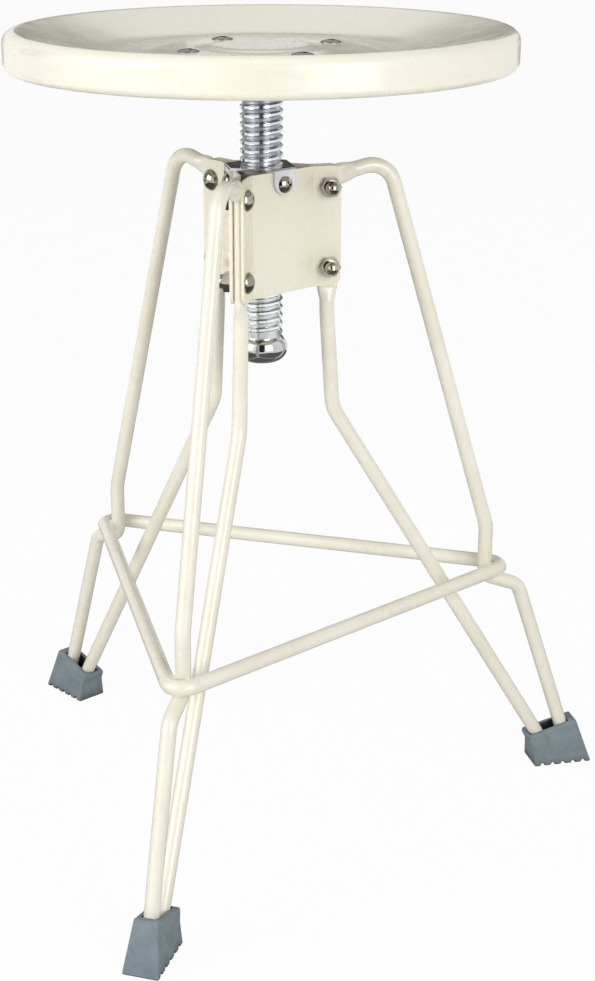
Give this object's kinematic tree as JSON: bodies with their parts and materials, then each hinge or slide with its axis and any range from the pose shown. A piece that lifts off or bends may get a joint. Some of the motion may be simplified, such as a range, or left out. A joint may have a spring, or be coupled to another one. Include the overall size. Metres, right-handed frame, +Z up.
{
  "type": "adjustable stool",
  "caption": "Screw-adjusted stool: dished round metal seat on a threaded spindle, folded plate hub, bent-rod legs with a triangular foot ring and rubber feet.",
  "frame": {"origin": "on the floor, under the spindle's axis", "axes": "+Z up along the spindle; the front leg points along -Y, the others are 120 degrees to either side"},
  "size_m": [0.4774, 0.4436, 0.5832],
  "materials": {
    "cream_paint": "gloss cream enamel, a little worn",
    "polished_metal": "polished plating",
    "plain_steel": "plain machined steel",
    "grey_rubber": "matt moulded rubber"
  },
  "bodies": {
    "frame": {"leg_front": "cream_paint", "foot_front": "grey_rubber", "leg_right": "cream_paint", "foot_right": "grey_rubber", "leg_left": "cream_paint", "foot_left": "grey_rubber", "hub_plate_rear": "cream_paint", "hub_plate_front_left": "cream_paint", "hub_plate_front_right": "cream_paint", "foot_ring": "cream_paint", "hub_bolts": "polished_metal", "hub_cap_nuts": "polished_metal", "top_plate": "polished_metal", "top_plate_screws": "polished_metal", "spindle_nut": "plain_steel"},
    "knob": {"stop_knob": "polished_metal"},
    "seat": {"spindle": "polished_metal", "knob_screw": "polished_metal", "seat_flange": "plain_steel", "seat_pan": "cream_paint", "seat_screws": "polished_metal", "seat_nuts": "plain_steel"}
  },
  "joints": [
    {"name": "seat_lift", "type": "slide", "parent": "frame", "child": "knob", "axis": [0, 0, 1], "range_m": [-0.0602, 0.0542]},
    {"name": "seat_turn", "type": "hinge", "parent": "knob", "child": "seat", "pos_m": [0, 0, 0.36], "axis": [0, 0, 1], "range_deg": [-3600, 3240]}
  ],
  "couplings": [
    {"joint": "seat_lift", "follows": "seat_turn", "m_per_rad": 0.00095493}
  ]
}
